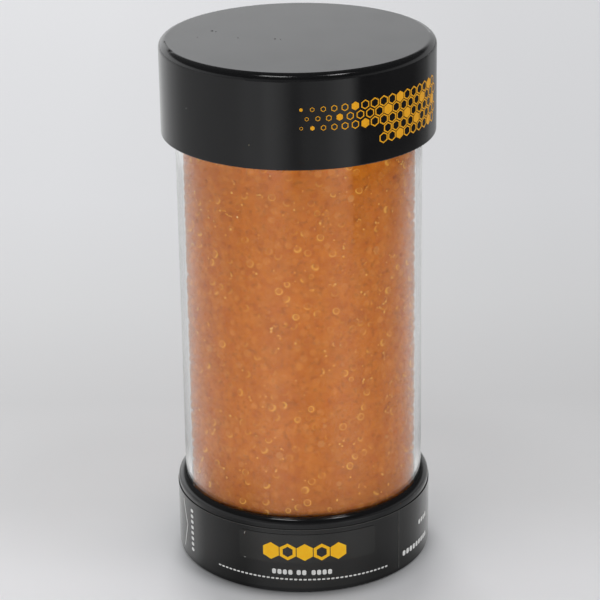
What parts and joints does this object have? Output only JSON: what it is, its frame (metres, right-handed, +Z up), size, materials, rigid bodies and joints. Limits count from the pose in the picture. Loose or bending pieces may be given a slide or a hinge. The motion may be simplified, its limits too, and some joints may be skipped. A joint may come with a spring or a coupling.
{
  "type": "silica gel breather",
  "caption": "Upright desiccant breather canister: clear tube of orange silica gel between a black moulded cap and base, drying air that enters a tank through its bottom port.",
  "frame": {"origin": "centre of the foot ring, on the surface that the breather stands on", "axes": "+Z up along the canister's axis, -Y towards the sticker on the front"},
  "size_m": [0.113, 0.113, 0.225],
  "materials": {
    "black_moulding": "smooth semi-gloss moulded ABS",
    "clear_tube": "clear polished acrylic",
    "label_film": "satin printed film",
    "sticker_film": "satin printed film",
    "white_pipe": "extruded rigid PVC",
    "gasket_rubber": "soft rubber",
    "screen_plastic": "perforated sheet",
    "foam": "open-cell foam",
    "felt": "needled felt",
    "silica_gel": "translucent orange beads"
  },
  "bodies": {
    "root": {"top_cap": "black_moulding", "base_cap": "black_moulding", "housing_tube": "clear_tube", "base_label": "label_film", "label_patch": "sticker_film", "standpipe": "white_pipe", "lower_gasket": "gasket_rubber", "upper_gasket": "gasket_rubber", "lower_screen": "screen_plastic", "upper_screen": "screen_plastic", "lower_foam_pad": "foam", "upper_foam_pad": "foam", "lower_filter": "felt", "upper_filter": "felt", "silica_gel_bed": "silica_gel"}
  },
  "joints": []
}
